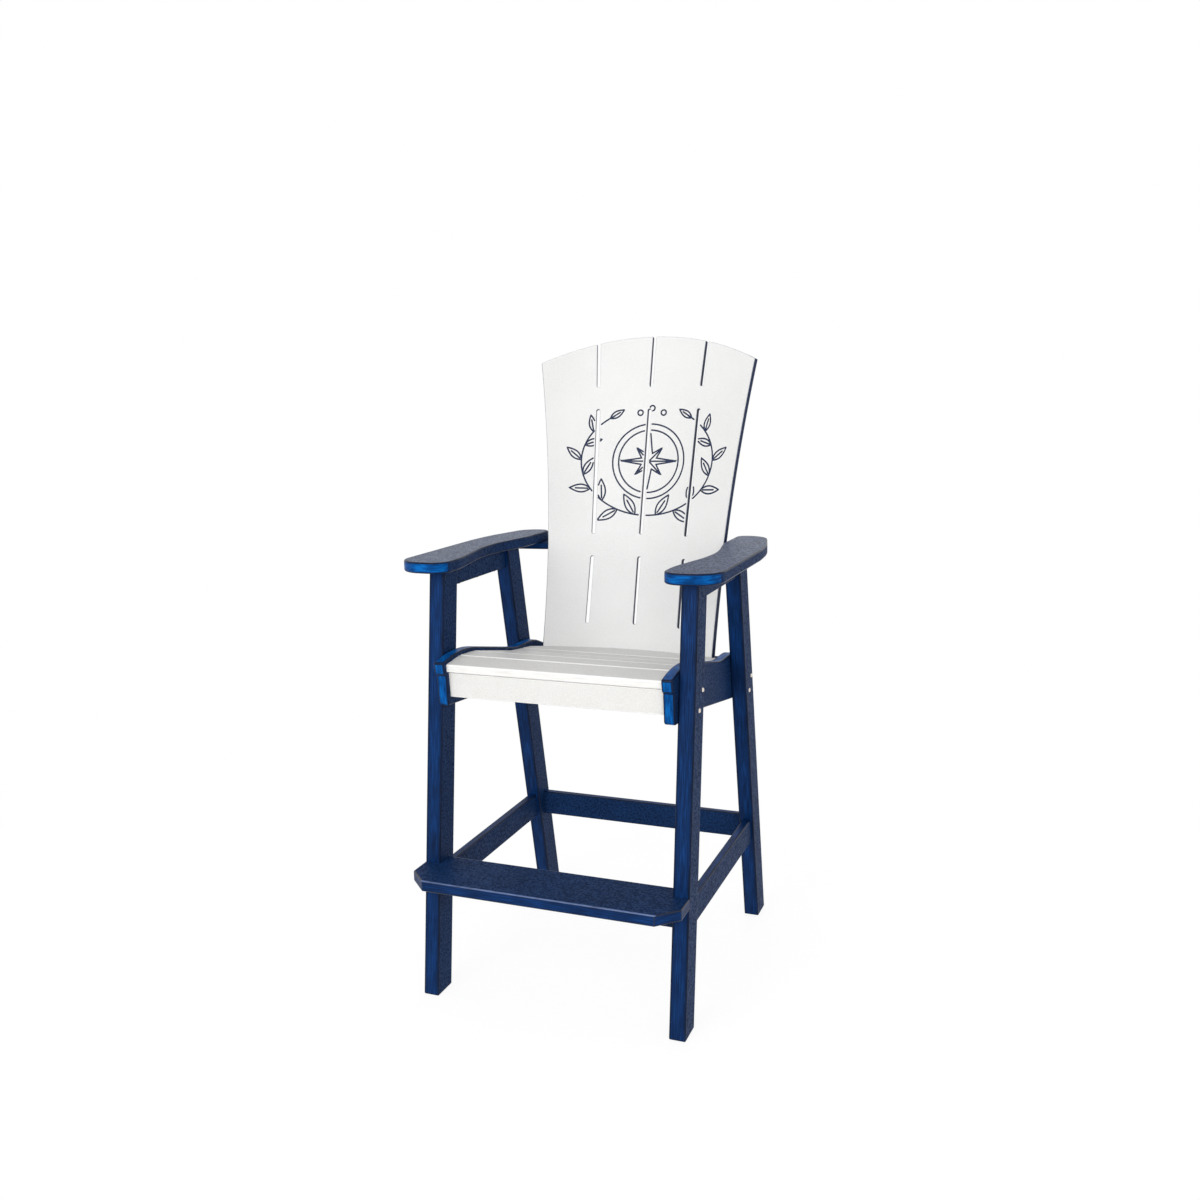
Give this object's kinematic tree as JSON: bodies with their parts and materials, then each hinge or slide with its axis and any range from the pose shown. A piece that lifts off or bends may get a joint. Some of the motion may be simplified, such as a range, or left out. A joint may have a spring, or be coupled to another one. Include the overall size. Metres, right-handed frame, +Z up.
{
  "type": "counter chair",
  "caption": "Tall outdoor armchair of plastic boards with a curved slotted back panel, slatted seat, flat arms and a footrest between splayed legs.",
  "frame": {"origin": "on the floor, under the middle of the chair's outer box", "axes": "+Z up, the sitter faces -Y, +X is the sitter's left"},
  "size_m": [0.7516, 0.8681, 1.5157],
  "materials": {
    "navy_board": "embossed satin",
    "white_board": "satin",
    "layered_sheet": "fine satin, navy core",
    "stainless_steel": "satin"
  },
  "bodies": {
    "root": {"left_front_leg": "navy_board", "right_front_leg": "navy_board", "left_rear_leg": "navy_board", "right_rear_leg": "navy_board", "left_arm": "navy_board", "right_arm": "navy_board", "left_arm_rail": "navy_board", "right_arm_rail": "navy_board", "left_seat_side": "navy_board", "right_seat_side": "navy_board", "left_slat_cleat": "navy_board", "right_slat_cleat": "navy_board", "left_side_stretcher": "navy_board", "right_side_stretcher": "navy_board", "front_stretcher": "navy_board", "rear_stretcher": "navy_board", "footrest": "navy_board", "seat_apron": "white_board", "seat_slat_1": "white_board", "seat_slat_2": "white_board", "seat_slat_3": "white_board", "seat_slat_4": "white_board", "seat_slat_5": "white_board", "seat_slat_6": "white_board", "rear_seat_slat": "white_board", "lower_back_rail": "navy_board", "upper_back_rail": "navy_board", "back_panel": "layered_sheet", "leg_screws": "stainless_steel", "arm_screws": "stainless_steel", "upper_rail_screws": "stainless_steel", "back_panel_screws": "stainless_steel", "slat_screws": "stainless_steel", "cleat_screws": "stainless_steel", "footrest_screws": "stainless_steel", "joint_pins": "stainless_steel"}
  },
  "joints": []
}
